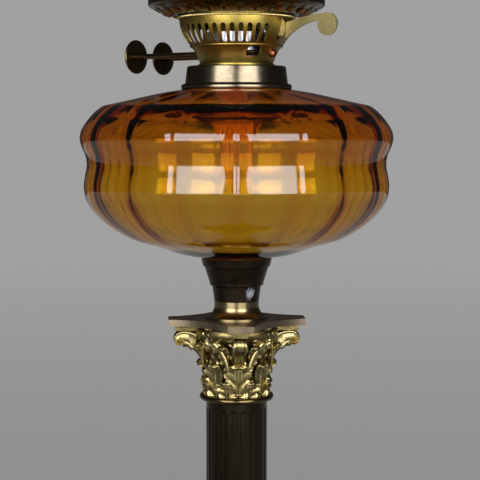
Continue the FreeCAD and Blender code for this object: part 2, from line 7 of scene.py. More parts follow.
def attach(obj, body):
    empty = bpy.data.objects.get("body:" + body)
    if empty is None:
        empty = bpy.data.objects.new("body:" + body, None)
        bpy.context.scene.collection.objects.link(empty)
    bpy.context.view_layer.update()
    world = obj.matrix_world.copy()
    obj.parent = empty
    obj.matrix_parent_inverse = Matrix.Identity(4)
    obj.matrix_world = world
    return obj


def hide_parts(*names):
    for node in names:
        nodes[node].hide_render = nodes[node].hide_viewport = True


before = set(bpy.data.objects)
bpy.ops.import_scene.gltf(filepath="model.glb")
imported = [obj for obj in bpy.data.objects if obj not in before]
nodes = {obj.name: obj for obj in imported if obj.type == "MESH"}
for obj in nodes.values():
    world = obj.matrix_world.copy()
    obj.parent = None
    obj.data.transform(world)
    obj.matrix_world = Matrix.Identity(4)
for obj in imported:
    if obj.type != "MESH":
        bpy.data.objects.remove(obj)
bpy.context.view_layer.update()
MM = 0.001


# ---- Plinth --------------------------------------------------------------------------------------
# Three square steps, a cavetto and a top block, cast hollow in bronze and patinated nearly black. An
# iron weight hangs inside on the tie rod, a steel sheet closes it, and green felt keeps it off the table.

def shader(name, **sockets):
    """A new material and its shader, with the sockets named by keyword set."""
    material = bpy.data.materials.new(name)
    material.use_nodes = True
    principled = material.node_tree.nodes["Principled BSDF"]
    for socket, value in sockets.items():
        principled.inputs[socket.replace("_", " ")].default_value = value
    return material, principled


def add_node(material, kind, **settings):
    node = material.node_tree.nodes.new(kind)
    for name, value in settings.items():
        if name in node.inputs:
            node.inputs[name].default_value = value
        else:
            setattr(node, name, value)
    return node


def link(material, source, target):
    material.node_tree.links.new(source, target)


def place(material, scale=(1, 1, 1)):
    """Object coordinates, stretched by scale."""
    where = add_node(material, "ShaderNodeTexCoord")
    mapping = add_node(material, "ShaderNodeMapping")
    mapping.inputs["Scale"].default_value = scale
    link(material, where.outputs["Object"], mapping.inputs["Vector"])
    return mapping.outputs["Vector"]


def spread(material, value, low, high, colours):
    """A ramp from one colour to the next as a value goes from low to high."""
    ramp = add_node(material, "ShaderNodeValToRGB")
    ramp.color_ramp.elements[0].position = low
    ramp.color_ramp.elements[1].position = high
    ramp.color_ramp.elements[0].color = (*colours[0], 1)
    ramp.color_ramp.elements[1].color = (*colours[-1], 1)
    for i, colour in enumerate(colours[1:-1], 1):
        stop = ramp.color_ramp.elements.new(low + (high - low) * i / (len(colours) - 1))
        stop.color = (*colour, 1)
    link(material, value, ramp.inputs["Fac"])
    return ramp.outputs["Color"]


def aged_metal(name, colours, roughness, grain=60.0, stretch=(1, 1, 1), bump=0.02, rubbed_and_lit=None):
    """Metal whose colour drifts through a few tones, with uneven polish and a faintly tooled surface."""
    material, metal = shader(name, Metallic=1.0)
    cloud = add_node(material, "ShaderNodeTexNoise", Scale=grain, Detail=6.0, Roughness=0.6)
    link(material, place(material, stretch), cloud.inputs["Vector"])
    tone = spread(material, cloud.outputs["Fac"], 0.34, 0.68, colours)
    fine = add_node(material, "ShaderNodeTexNoise", Scale=grain * 9, Detail=4.0, Roughness=0.7)
    link(material, place(material, stretch), fine.inputs["Vector"])
    if rubbed_and_lit is not None:
        # Crests are lighter, partly from rubbing and partly as painted highlight, and hollows darker as
        # painted shade:
        # each modelled piece carries the amount as an attribute.
        wear_and_painted_light = add_node(material, "ShaderNodeAttribute", attribute_name="wear_and_painted_light")
        mix = add_node(material, "ShaderNodeMix", data_type="RGBA")
        link(material, wear_and_painted_light.outputs["Fac"], mix.inputs["Factor"])
        link(material, tone, mix.inputs[6])
        mix.inputs[7].default_value = (*rubbed_and_lit, 1)
        tone = mix.outputs[2]
    link(material, tone, metal.inputs["Base Color"])
    polish = add_node(material, "ShaderNodeMapRange")
    polish.inputs["To Min"].default_value = roughness[0]
    polish.inputs["To Max"].default_value = roughness[1]
    link(material, fine.outputs["Fac"], polish.inputs["Value"])
    link(material, polish.outputs["Result"], metal.inputs["Roughness"])
    relief = add_node(material, "ShaderNodeBump", Strength=bump, Distance=0.0004)
    link(material, fine.outputs["Fac"], relief.inputs["Height"])
    link(material, relief.outputs["Normal"], metal.inputs["Normal"])
    return material


def finish_nodes(material, *names):
    """Give CAD nodes their finish."""
    for name in names:
        nodes[name].data.materials.clear()
        nodes[name].data.materials.append(material)


dark_bronze = aged_metal("dark_bronze",
                         [(0.020, 0.016, 0.009), (0.042, 0.036, 0.022), (0.026, 0.021, 0.012)],
                         (0.16, 0.32), grain=30, stretch=(1, 1, 0.12), bump=0.03)
finish_nodes(dark_bronze, "base_plinth")
steel = aged_metal("zinc_steel", [(0.42, 0.42, 0.43), (0.55, 0.55, 0.56)], (0.3, 0.5))
finish_nodes(steel, "base_cover", "base_cover_screws", "tie_rod", "tie_rod_nuts", "tie_rod_washer",
             "lever_pin", "near_wick_wheels", "far_wick_wheels")
iron = aged_metal("cast_iron", [(0.05, 0.05, 0.05), (0.09, 0.085, 0.08)], (0.55, 0.8), bump=0.4)
finish_nodes(iron, "base_weight")

felt, felt_shader = shader("green_felt", Roughness=0.95)
nap = add_node(felt, "ShaderNodeTexNoise", Scale=900.0, Detail=4.0)
link(felt, place(felt), nap.inputs["Vector"])
felt_green = spread(felt, nap.outputs["Fac"], 0.3, 0.7, [(0.012, 0.06, 0.03), (0.03, 0.12, 0.06)])
link(felt, felt_green, felt_shader.inputs["Base Color"])
nap_relief = add_node(felt, "ShaderNodeBump", Strength=0.6, Distance=0.0005)
link(felt, nap.outputs["Fac"], nap_relief.inputs["Height"])
link(felt, nap_relief.outputs["Normal"], felt_shader.inputs["Normal"])
finish_nodes(felt, "base_felt")


# ---- Column --------------------------------------------------------------------------------------
# A drawn tube with twenty shallow flutes between a turned ring base and a half-round astragal.

finish_nodes(dark_bronze, "column_base", "column_shaft")
brown_brass = aged_metal("brown_brass", [(0.07, 0.048, 0.022), (0.13, 0.095, 0.045), (0.09, 0.065, 0.03)],
                         (0.16, 0.32), grain=55)
finish_nodes(brown_brass, "astragal_ring", "near_winder_shaft", "far_winder_shaft", "near_winder_disc",
             "far_winder_disc")


# ---- Capital -------------------------------------------------------------------------------------
# Cast brass, gilt and rubbed: a bell with two tiers of eight acanthus leaves and eight small ones above, a
# scroll under each corner of the abacus and a flower in each side. Crests are painted lighter, partly from
# rubbing and partly as painted highlight, and hollows darker as painted shade.

def profile_edges(shape, points):
    """Verts joined in a line through (radius, height) points in millimetres, in the X-Z plane."""
    line = [shape.verts.new((r * MM, 0, z * MM)) for r, z in points]
    return [shape.edges.new(pair) for pair in zip(line, line[1:])]


def turn_on_axis(shape, edges, steps):
    """Spin a line a full turn about Z, and close its poles."""
    geom = edges + list({v for e in edges for v in e.verts})
    bmesh.ops.spin(shape, geom=geom, cent=(0, 0, 0), axis=(0, 0, 1), angle=math.tau, steps=steps,
                   use_merge=True)
    poles = [v for v in shape.verts if math.hypot(v.co.x, v.co.y) < 1e-7]
    bmesh.ops.remove_doubles(shape, verts=poles, dist=1e-6)


def rounded(points, steps):
    """A smooth line through (radius, height) points: a Catmull-Rom curve."""
    ends = [points[0]] + points + [points[-1]]
    line = []
    for a, b, c, d in zip(ends, ends[1:], ends[2:], ends[3:]):
        for i in range(steps):
            t = i / steps
            line.append(tuple(0.5 * (2 * q + (r - p) * t + (2 * p - 5 * q + 4 * r - s) * t * t
                                     + (3 * q - p - 3 * r + s) * t**3)
                              for p, q, r, s in zip(a, b, c, d)))
    return line + [points[-1]]


def finished(name, shape, body, material, replaced=(), smooth=35.0):
    """Make a bmesh a piece that rides on a body, stands for CAD nodes and shades smooth up to an angle."""
    mesh = bpy.data.meshes.new(name)
    shape.to_mesh(mesh)
    shape.free()
    piece = bpy.data.objects.new(name, mesh)
    bpy.context.scene.collection.objects.link(piece)
    mesh.materials.append(material)
    mesh.shade_smooth()
    mesh.set_sharp_from_angle(angle=math.radians(smooth))
    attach(piece, body)
    if replaced:
        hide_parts(*replaced)
    return piece


def bent_grid(shape, across, along, place):
    """A grid with each vert put where place(u, v) says, u and v going from 0 to 1. place gives (side,
    radius, height, bearing, lightening), in millimetres and degrees; the lightening is partly rubbing and
    partly painted highlight or painted shade. Verts that meet are merged."""
    layer = shape.verts.layers.float.get("wear_and_painted_light") or shape.verts.layers.float.new("wear_and_painted_light")
    verts = bmesh.ops.create_grid(shape, x_segments=across, y_segments=along, size=0.5)["verts"]
    for vert in verts:
        side, r, z, bearing, wear_and_painted_light = place(vert.co.x + 0.5, vert.co.y + 0.5)
        c, s = math.cos(math.radians(bearing)), math.sin(math.radians(bearing))
        vert.co = ((r * c - side * s) * MM, (r * s + side * c) * MM, z * MM)
        vert[layer] = max(0.0, min(1.0, wear_and_painted_light))
    bmesh.ops.remove_doubles(shape, verts=verts, dist=1e-6)


def on_line(line, t):
    """The point at a share t of a line of (radius, height) points, and the direction there."""
    i = min(int(t * (len(line) - 1)), len(line) - 2)
    (r0, z0), (r1, z1) = line[i], line[i + 1]
    part = t * (len(line) - 1) - i
    length = math.hypot(r1 - r0, z1 - z0)
    return r0 + (r1 - r0) * part, z0 + (z1 - z0) * part, (r1 - r0) / length, (z1 - z0) / length


def leaf(shape, spine, width, lobes, bearing, relief):
    """An acanthus leaf along a spine: scalloped edges that curl out, a midrib, and a vein to each scallop."""
    line = rounded(spine, 8)

    def place(u, v):
        front = u < 0.5
        s = 4 * u - 1 if front else 3 - 4 * u
        r, z, dr, dz = on_line(line, v)
        rise = v + 0.13 * (1 - abs(s)) + 0.05
        scallop = abs(math.sin(math.pi * lobes * rise)) ** 0.7
        finger = abs(math.cos(math.pi * 3 * lobes * rise))
        taper = math.sin(math.pi * (0.16 + 0.72 * v)) ** 0.6
        half = width / 2 * taper * (0.66 + 0.28 * scallop + 0.06 * finger)
        rib = math.exp(-(s / 0.07) ** 2)
        edge = scallop * abs(s) ** 3
        blade = 0.45 * scallop * min(1, 3 * abs(s))
        height = relief * (blade + 0.9 * edge + 0.22 * finger * abs(s) + 0.6 * rib)
        out = height if front else height - 0.9 * (1 - s**4)
        # Scallop edges, fingers and midrib lighter: partly rubbed gilt, partly painted highlight on the
        # crests.
        rubbed_and_lit = 1.15 * edge * (0.3 + 0.7 * finger) + 0.55 * rib + 0.45 * finger * scallop * abs(s)
        return s * half, r + dz * out, z - dr * out, bearing, rubbed_and_lit

    bent_grid(shape, 44, 46, place)


def rod_section(u, width, depth, square=0.4):
    """A point (side, out) on the outline of a rounded bar."""
    c, s = math.cos(math.tau * u), math.sin(math.tau * u)
    return math.copysign(abs(c) ** square, c) * width / 2, math.copysign(abs(s) ** square, s) * depth / 2


def scroll(shape, bearing):
    """A corner's volute with ridges along its sides, the ribbed stem that carries it, and the block on it."""
    spine = rounded([(22.0, 337.6), (26.5, 339.4), (31.5, 339.7), (35.0, 338.4), (36.6, 335.4),
                     (35.6, 332.2), (33.0, 330.9), (30.8, 332.2), (31.0, 334.6), (32.9, 335.5),
                     (34.2, 334.2), (33.3, 333.0)], 6)

    def place(u, v):
        r, z, dr, dz = on_line(spine, v)
        depth = 2.3 + 8.6 * max(0.0, 1 - 2.2 * v) ** 0.8
        side, out = rod_section(u, 7.6 + 1.2 * v, depth)
        ridge = math.cos(math.tau * 3.0 * (out / depth + 0.5)) if abs(side) > 2.5 else 0.0
        stipple = 0.16 * math.cos(side * 5.2) * math.cos(v * 190) if v < 0.55 and abs(side) < 2.6 else 0.0
        edge = 0.35 if out > 0 and abs(side) > 2.8 else 0.0
        side -= math.copysign(0.75 * (ridge + 1) / 2, side)
        out += stipple + edge - depth / 2
        # Raised parts and stippling lighter, grooves darker: partly rubbing, partly painted highlight and
        # painted shade.
        return side, r - dz * out, z + dr * out, bearing, 0.45 - 0.55 * ridge + 1.8 * stipple

    bent_grid(shape, 56, 90, place)
    stem_line = rounded([(17.8, 313.0), (18.6, 320.0), (21.4, 326.0), (25.4, 330.2), (29.6, 331.6),
                         (31.6, 331.4)], 6)

    def stem(u, v):
        r, z, dr, dz = on_line(stem_line, v)
        side, out = rod_section(u, 6.4, 3.0, 0.6)
        flute = math.cos(side * math.tau / 2.1)
        out += 0.30 * flute if out > 0 else 0.0
        # Flute crests lighter: partly rubbed, partly painted highlight.
        return side, r + dz * out, z - dr * out, bearing, 0.45 + 0.4 * flute

    bent_grid(shape, 40, 30, stem)
    block = bmesh.ops.create_cube(shape, size=1.0)["verts"]
    turn = Matrix.Rotation(math.radians(bearing), 4, "Z")
    size = Matrix.Diagonal((13.0 * MM, 8.4 * MM, 3.4 * MM, 1))
    under_abacus = Matrix.Translation((29.6 * MM, 0, 341.3 * MM))
    bmesh.ops.transform(shape, verts=block, matrix=turn @ under_abacus @ size)


def flower(shape, bearing):
    """A side's flower of six cupped petals round a boss."""
    def place(u, v):
        turn = math.tau * u
        petal = abs(math.cos(3 * turn))
        reach = 4.3 * v * (0.72 + 0.28 * petal**0.5)
        rise = 1.5 * math.exp(-(v / 0.22) ** 2) + 1.3 * v * petal + 0.4
        # Raised petals and boss lighter: partly rubbed, partly painted highlight.
        return reach * math.cos(turn), 23.0 + rise, 339.2 + reach * math.sin(turn), bearing, rise / 1.7

    bent_grid(shape, 72, 12, place)


def helix(shape, bearing, hand):
    """A small scroll that rises between two leaves and curls under the flower."""
    spine = rounded([(9.5, 319.0), (8.6, 325.0), (6.6, 330.0), (3.6, 333.8), (1.8, 333.0), (1.9, 331.2),
                     (3.4, 331.0), (3.6, 332.2)], 5)

    def place(u, v):
        side, z, ds, dz = on_line(spine, v)
        across, out = rod_section(u, 2.3, 2.4, 0.8)
        r = 18.2 + 4.6 * max(0.0, (z - 319) / 15) ** 1.4
        # Outward side lighter, inner side darker: painted shade.
        return hand * (side - dz * across), r + out, z + ds * across, bearing, 0.5 + 0.4 * out

    bent_grid(shape, 12, 30, place)


capital = bmesh.new()
bell = [(4.3, 302.4), (17.2, 302.4), (17.0, 308), (17.3, 316), (18.6, 324), (21.4, 331), (23.6, 335.5),
        (24.6, 338.0)]
bell = rounded(bell, 4) + [(24.6, 342.9), (4.3, 342.9)]

def foliage(u, v):
    """The bell's surface: low crowded foliage that fades under the flowers."""
    r, z, dr, dz = on_line(bell, v)
    bud = max(0.0, math.cos(20 * math.tau * u + 1.6 * math.sin(0.7 * z))) * abs(math.cos(0.85 * z))
    shown = 1.0 if 1.2 < z - 302.4 < 34 and r > 15 else 0.0
    # Buds lighter than the bell between them: partly rubbed, partly painted highlight.
    return 0, r + 1.1 * bud * shown, z, 360 * u, 0.9 * bud * shown


bent_grid(capital, 200, 66, foliage)
for i in range(8):
    upper = [(17.4, 302.6), (17.9, 309.0), (18.4, 315.5), (19.8, 320.2), (21.6, 321.9), (22.8, 320.8),
             (22.4, 319.0)]
    leaf(capital, upper, 15.5, 6, 45 * i, 1.3)
    lower = [(18.0, 302.5), (18.5, 306.0), (18.9, 309.2), (19.9, 311.2), (20.9, 310.9), (20.8, 309.6)]
    leaf(capital, lower, 11.0, 5, 22.5 + 45 * i, 1.0)
    tendril = [(19.0, 322.0), (20.4, 326.0), (22.6, 330.0), (25.0, 332.6), (26.6, 332.4), (26.6, 330.8)]
    leaf(capital, tendril, 7.5, 5, 22.5 + 45 * i, 1.0)
for i in range(4):
    scroll(capital, 45 + 90 * i)
    flower(capital, 90 * i)
    for hand in (-1, 1):
        helix(capital, 90 * i, hand)
bmesh.ops.recalc_face_normals(capital, faces=capital.faces[:])
gilt_brass = aged_metal("gilt_brass",
                        [(0.10, 0.076, 0.030), (0.21, 0.165, 0.065), (0.14, 0.105, 0.042)], (0.24, 0.4),
                        grain=130, bump=0.3, rubbed_and_lit=(0.56, 0.47, 0.22))
finished("acanthus_capital", capital, "stand", gilt_brass, ["capital"], smooth=50)

dull_brass = aged_metal("dull_brass", [(0.13, 0.10, 0.075), (0.22, 0.175, 0.115), (0.16, 0.125, 0.09)],
                        (0.25, 0.4), grain=40)
finish_nodes(dull_brass, "abacus_plate")


# ---- Font mount ----------------------------------------------------------------------------------
# A waisted brass foot and a dark cup, turned from brass, that the font's glass peg is bedded in with plaster.
# Some of the plaster has been smeared over the cup's side.

cone_brass = aged_metal("cone_brass",
                        [(0.15, 0.115, 0.055), (0.21, 0.165, 0.085), (0.18, 0.138, 0.068)], (0.18, 0.3),
                        grain=40)
finish_nodes(cone_brass, "pedestal_cone")
cup_bronze = aged_metal("cup_bronze",
                        [(0.012, 0.009, 0.007), (0.030, 0.021, 0.014), (0.018, 0.013, 0.009)], (0.25, 0.5),
                        grain=60, bump=0.1)
finish_nodes(cup_bronze, "font_mount_cup")
smear = add_node(cup_bronze, "ShaderNodeMapping", vector_type="TEXTURE")
smear.inputs["Location"].default_value = (0.0134, -0.0031, 0.3620)
smear.inputs["Scale"].default_value = (0.0042, 0.0036, 0.0052)
cup_place = add_node(cup_bronze, "ShaderNodeTexCoord")
link(cup_bronze, cup_place.outputs["Object"], smear.inputs["Vector"])
smear_reach = add_node(cup_bronze, "ShaderNodeVectorMath", operation="LENGTH")
link(cup_bronze, smear.outputs["Vector"], smear_reach.inputs[0])
crumbs = add_node(cup_bronze, "ShaderNodeTexNoise", Scale=900.0, Detail=5.0)
link(cup_bronze, place(cup_bronze, (1, 1, 0.5)), crumbs.inputs["Vector"])
cover = add_node(cup_bronze, "ShaderNodeMath", operation="SUBTRACT")
link(cup_bronze, crumbs.outputs["Fac"], cover.inputs[0])
thin = add_node(cup_bronze, "ShaderNodeMath", operation="MULTIPLY")
thin.inputs[1].default_value = 0.42
link(cup_bronze, smear_reach.outputs["Value"], thin.inputs[0])
link(cup_bronze, thin.outputs[0], cover.inputs[1])
mask = add_node(cup_bronze, "ShaderNodeMapRange")
mask.inputs["From Min"].default_value = 0.18
mask.inputs["From Max"].default_value = 0.36
link(cup_bronze, cover.outputs[0], mask.inputs["Value"])
chalk = add_node(cup_bronze, "ShaderNodeBsdfDiffuse")
chalk.inputs["Color"].default_value = (0.19, 0.19, 0.22, 1)
smeared = add_node(cup_bronze, "ShaderNodeMixShader")
link(cup_bronze, mask.outputs["Result"], smeared.inputs["Fac"])
cup_nodes = cup_bronze.node_tree.nodes
link(cup_bronze, cup_nodes["Principled BSDF"].outputs["BSDF"], smeared.inputs[1])
link(cup_bronze, chalk.outputs["BSDF"], smeared.inputs[2])
link(cup_bronze, smeared.outputs["Shader"], cup_nodes["Material Output"].inputs["Surface"])
plaster = shader("plaster", Roughness=0.9, Base_Color=(0.7, 0.68, 0.62, 1))[0]
finish_nodes(plaster, "plaster_bed", "collar_plaster")


# ---- Font ----------------------------------------------------------------------------------------
# Sixteen broad lobes of amber glass, blown into a mould: thick at the shoulder and thin at the belly. Each
# lobe is nearly a plain arc. A fine furrow outside and a wider ridge inside part it from the next.

LOBES = 16
LOBE = math.tau / LOBES
FURROW_AT = math.radians(-48.5)


def furrowed(verts, depth, half_width):
    """Crowd the verts of a turned body at each furrow and press it in, fading at neck and foot."""
    for vert in verts:
        radius = math.hypot(vert.co.x, vert.co.y)
        if radius < 0.027:
            continue
        bearing = math.atan2(vert.co.y, vert.co.x)
        off = (bearing - FURROW_AT + LOBE / 2) % LOBE - LOBE / 2
        middle = bearing - off
        off = math.copysign(LOBE / 2 * abs(2 * off / LOBE) ** 1.7, off)
        fade = min(1.0, (radius - 0.027) / 0.02)
        radius *= 1 - depth * fade * math.exp(-(off / half_width) ** 2)
        vert.co.x = radius * math.cos(middle + off)
        vert.co.y = radius * math.sin(middle + off)


glass = bmesh.new()
outside = [(0, 368.5), (12.3, 368.5), (12.5, 369.0), (12.5, 381.0), (13.5, 382.2), (21.3, 382.6)]
outside += [(32.5, 384.4), (44.4, 388.5), (59.0, 392.7), (66.8, 396.4), (74.7, 401.6), (80.6, 407.0)]
outside += [(85.0, 412.6), (87.3, 418.0), (88.1, 424.0), (87.3, 430.0), (86.3, 435.5), (86.9, 441.0)]
outside += [(88.9, 445.8), (90.2, 450.5), (89.4, 455.5), (86.4, 460.5), (82.5, 465.2), (78.6, 468.5)]
outside += [(75.8, 469.9), (69.9, 471.2), (57.0, 474.1), (43.8, 477.0), (31.5, 479.0), (26.5, 479.6)]
outside += [(25.0, 481.0)]
outside = rounded(outside, 3) + [(25.0, 489.0), (22.2, 489.0)]
turn_on_axis(glass, profile_edges(glass, outside), LOBES * 20)
furrowed(glass.verts, 0.0035, math.radians(0.6))
outer_skin = set(glass.verts)
inside = [(0, 387.0), (14.0, 387.2), (24.0, 387.6), (34.0, 388.6), (45.0, 391.8), (57.6, 396.0)]
inside += [(64.6, 399.4), (72.2, 404.4), (77.7, 409.6), (81.7, 414.6), (83.8, 419.0), (84.4, 424.2)]
inside += [(83.2, 430.2), (81.8, 435.6), (81.8, 441.4), (82.6, 446.4), (84.0, 450.2), (82.6, 454.2)]
inside += [(79.2, 458.0), (74.4, 461.0), (68.0, 463.4), (58.0, 466.0), (43.0, 469.4), (31.0, 472.0)]
inside += [(25.0, 474.0), (22.4, 476.6), (22.2, 478.4)]
inside = rounded(inside, 3) + [(22.2, 489.0)]
turn_on_axis(glass, profile_edges(glass, inside), LOBES * 20)
furrowed([v for v in glass.verts if v not in outer_skin], 0.020, math.radians(4.4))
bmesh.ops.remove_doubles(glass, verts=glass.verts[:], dist=1e-6)
bmesh.ops.recalc_face_normals(glass, faces=glass.faces[:])

amber, amber_shader = shader("amber_glass", Roughness=0.05, IOR=1.5, Transmission_Weight=1.0,
                             Base_Color=(1, 1, 1, 1))
absorb = add_node(amber, "ShaderNodeVolumeAbsorption", Density=480.0)
absorb.inputs["Color"].default_value = (0.938, 0.785, 0.0, 1)
link(amber, absorb.outputs["Volume"], amber.node_tree.nodes["Material Output"].inputs["Volume"])


def let_light_in(material, principled, tint):
    """Glass that lets the lamps light what stands in it, tinted."""
    route = add_node(material, "ShaderNodeLightPath")
    passing = add_node(material, "ShaderNodeBsdfTransparent")
    passing.inputs["Color"].default_value = (*tint, 1)
    either = add_node(material, "ShaderNodeMixShader")
    link(material, route.outputs["Is Shadow Ray"], either.inputs["Fac"])
    link(material, principled.outputs["BSDF"], either.inputs[1])
    link(material, passing.outputs["BSDF"], either.inputs[2])
    link(material, either.outputs["Shader"], material.node_tree.nodes["Material Output"].inputs["Surface"])


let_light_in(amber, amber_shader, (0.9, 0.72, 0.45))
font = finished("lobed_font", glass, "stand", amber, ["font_glass"], smooth=60)


# ---- Wicks ---------------------------------------------------------------------------------------
# Two woven cotton tapes an inch wide, soaked with old oil. Each is flat in its tube and falls in close folds
# below it, down to an end that is coloured darker brown.

BURNER_TURN = 5.5


def wick_tape(name, body, node, side, lean, tip):
    """One tape: from its trimmed top, flat in the tube, then folding together and leaning as it hangs."""
    tape = bmesh.new()

    def place(u, v):
        front = u < 0.5
        s = 4 * u - 1 if front else 3 - 4 * u
        z = 546.0 - 125.0 * v
        slack = max(0.0, min(1.0, (475.0 - z) / 22.0))
        slack = slack * slack * (3 - 2 * slack)
        taper = max(0.0, min(1.0, (432.0 - z) / 11.0))
        half = 12.6 * (1 - slack) + slack * (3.7 - 2.0 * taper)
        fold = slack * (2.1 - 0.9 * taper) * math.sin(3 * math.pi * s + 0.5)
        weave = 0.10 * math.sin(v * 400) * math.cos(s * 40)
        thick = (1.1 - 0.25 * slack) * (1 - s**8) * (1 if front else -1)
        x = half * s + slack * (lean + tip * ((484 - z) / 63) ** 2)
        y = side * 6.6 * (1 - 0.5 * slack) + fold + thick + weave
        return -x, -y, z, BURNER_TURN - 90, max(0.0, 1 - (z - 421.0) / 9.0)

    bent_grid(tape, 60, 150, place)
    bmesh.ops.holes_fill(tape, edges=[e for e in tape.edges if e.is_boundary], sides=0)
    bmesh.ops.recalc_face_normals(tape, faces=tape.faces[:])
    piece = finished(name, tape, body, wick_cloth, [node], smooth=60)


wick_cloth, wick_shader = shader("wick_cloth", Roughness=0.85)
yarn = add_node(wick_cloth, "ShaderNodeTexNoise", Scale=260.0, Detail=5.0)
link(wick_cloth, place(wick_cloth, (1, 1, 0.25)), yarn.inputs["Vector"])
cotton = spread(wick_cloth, yarn.outputs["Fac"], 0.3, 0.7, [(0.20, 0.155, 0.07), (0.36, 0.29, 0.14)])
# Darker brown towards the hanging end of the tape.
end_darkening = add_node(wick_cloth, "ShaderNodeAttribute", attribute_name="wear_and_painted_light")
darker_end = add_node(wick_cloth, "ShaderNodeMix", data_type="RGBA")
link(wick_cloth, end_darkening.outputs["Fac"], darker_end.inputs["Factor"])
link(wick_cloth, cotton, darker_end.inputs[6])
darker_end.inputs[7].default_value = (0.05, 0.02, 0.008, 1)
link(wick_cloth, darker_end.outputs[2], wick_shader.inputs["Base Color"])
wick_tape("near_tape", "near_wick_tape", "near_wick", -1, -2.5, -2.0)
wick_tape("far_tape", "far_wick_tape", "far_wick", 1, 2.5, 0.0)


# ---- Burner --------------------------------------------------------------------------------------
# Pressed and turned brass: a collar plastered on the font's neck, a pierced basket, the wick tubes and the
# winders. A rib runs round the basket under its slots, and a ring of fine beads round its top.

collar_brass = aged_metal("collar_brass",
                          [(0.085, 0.068, 0.048), (0.15, 0.125, 0.085), (0.11, 0.09, 0.062)],
                          (0.16, 0.3), grain=50)
finish_nodes(collar_brass, "font_collar")
basket_brass = aged_metal("basket_brass",
                          [(0.165, 0.115, 0.024), (0.25, 0.185, 0.042), (0.20, 0.14, 0.030)],
                          (0.3, 0.44), grain=40, rubbed_and_lit=(0.75, 0.62, 0.28))
finish_nodes(basket_brass, "burner_base", "burner_basket", "near_wick_tube", "far_wick_tube", "tube_plate",
             "air_diffuser", "flame_spreader", "extinguisher_sleeves", "chimney_holder")
bright_brass = aged_metal("bright_brass",
                          [(0.27, 0.225, 0.095), (0.36, 0.305, 0.135), (0.31, 0.26, 0.11)],
                          (0.3, 0.42), grain=40)
finish_nodes(bright_brass, "extinguisher_lever", "lever_bracket")
drum_metal = aged_metal("silvery_drum", [(0.18, 0.18, 0.19), (0.30, 0.30, 0.32)], (0.2, 0.36), grain=70)
finish_nodes(drum_metal, "inner_drum")
copper = aged_metal("copper_bush", [(0.30, 0.10, 0.05), (0.42, 0.18, 0.10)], (0.25, 0.4))
finish_nodes(copper, "winder_bushes", "copper_stud")

BEADS = 160


def bead_ring(u, v):
    """A round cord whose section swells at each bead."""
    swell = abs(math.cos(BEADS / 2 * math.tau * v))
    r = 33.3 + 0.8 * math.cos(math.tau * u) * (0.3 + 0.7 * swell)
    z = 520.05 + 0.9 * math.sin(math.tau * u) * (0.55 + 0.45 * swell)
    # Each bead is painted lighter at its swell and darker between beads: painted highlight and painted shade.
    return 0, r, z, 360 * v, 1.3 * swell - 0.3


beads = bmesh.new()
bent_grid(beads, 10, 6 * BEADS, bead_ring)
rib_line = [(25.85, 502.9), (26.55, 503.2), (26.85, 503.8), (26.65, 504.4), (26.0, 504.6)]
turn_on_axis(beads, profile_edges(beads, rounded(rib_line, 3)), 96)
bmesh.ops.recalc_face_normals(beads, faces=beads.faces[:])
ring = finished("basket_beads_and_rib", beads, "burner", basket_brass, ["basket_bead_ring"], smooth=60)


# ---- Gallery -------------------------------------------------------------------------------------
# Thin pressed brass, browned by heat, whose underside is embossed with rings and crescents. It carries the
# shade on the ledge inside its rim and the chimney in sixteen spring prongs.

gallery = bmesh.new()
under = [(31.8, 521.5), (33.0, 521.4), (34.6, 521.4)]
under += [(35 + 0.42 * i, 521.5 + 2.65 * i / 25) for i in range(26)]
under += [(46.6, 524.6), (47.6, 524.95), (48.5, 525.25), (49.3, 525.65), (50.1, 526.3), (50.6, 526.8)]
rim = [(50.7, 527.6), (50.7, 532.0), (50.7, 537.0), (51.2, 537.1), (51.4, 537.5), (51.2, 537.9),
       (50.6, 538.0), (50.0, 537.9)]
seat = [(49.8, 537.2), (49.8, 527.7), (46.4, 527.7), (43.8, 525.0), (34.8, 522.6), (32.8, 522.7),
        (32.7, 523.0), (32.7, 529.0)]
closed = under + rim + seat + [(29.2, 529.0), (29.2, 528.3), (31.8, 528.3), (31.8, 521.5)]
turn_on_axis(gallery, profile_edges(gallery, closed), 840)
bmesh.ops.remove_doubles(gallery, verts=gallery.verts[:], dist=1e-6)
bmesh.ops.recalc_face_normals(gallery, faces=gallery.faces[:])
EMBOSSED = 28
wear_and_painted_light = gallery.verts.layers.float.new("wear_and_painted_light")
for vert in gallery.verts:
    radius, z = math.hypot(vert.co.x, vert.co.y) / MM, vert.co.z / MM
    if not 35.5 < radius < 48.8 or z > 521.9 + (radius - 35) * 0.255:
        continue
    step = math.tau / EMBOSSED
    turn = (math.atan2(vert.co.y, vert.co.x) - math.radians(BURNER_TURN)) % step - step / 2
    across = radius * turn
    gap = radius * (step / 2 - abs(turn))
    from_boss = math.hypot(across, radius - 41.4) / 2.9
    lift = 1.9 * max(0.0, 1 - from_boss**2) ** 0.6 - 0.5 * math.exp(-((from_boss - 0.62) / 0.12) ** 2)
    from_leaf = math.hypot(gap / 1.0, (radius - 38.2) / 1.9)
    lift = max(lift, 1.0 * math.exp(-from_leaf**4) * (0.4 + 0.6 * abs(math.cos(radius * 2.2))))
    lift = max(lift, 0.9 * math.exp(-(math.hypot(gap, radius - 46.0) / 1.1) ** 2))
    vert.co.z -= lift * MM
    # Raised embossing is painted lighter than the pan around it: painted highlight.
    vert[wear_and_painted_light] = max(0.0, min(1.0, 0.7 * lift))
gallery_brass = aged_metal("gallery_brass",
                           [(0.045, 0.031, 0.014), (0.085, 0.062, 0.030), (0.06, 0.043, 0.020)],
                           (0.18, 0.34), grain=70, rubbed_and_lit=(0.42, 0.36, 0.20))
pressed = finished("embossed_gallery", gallery, "shade_gallery", gallery_brass, ["gallery"], smooth=50)


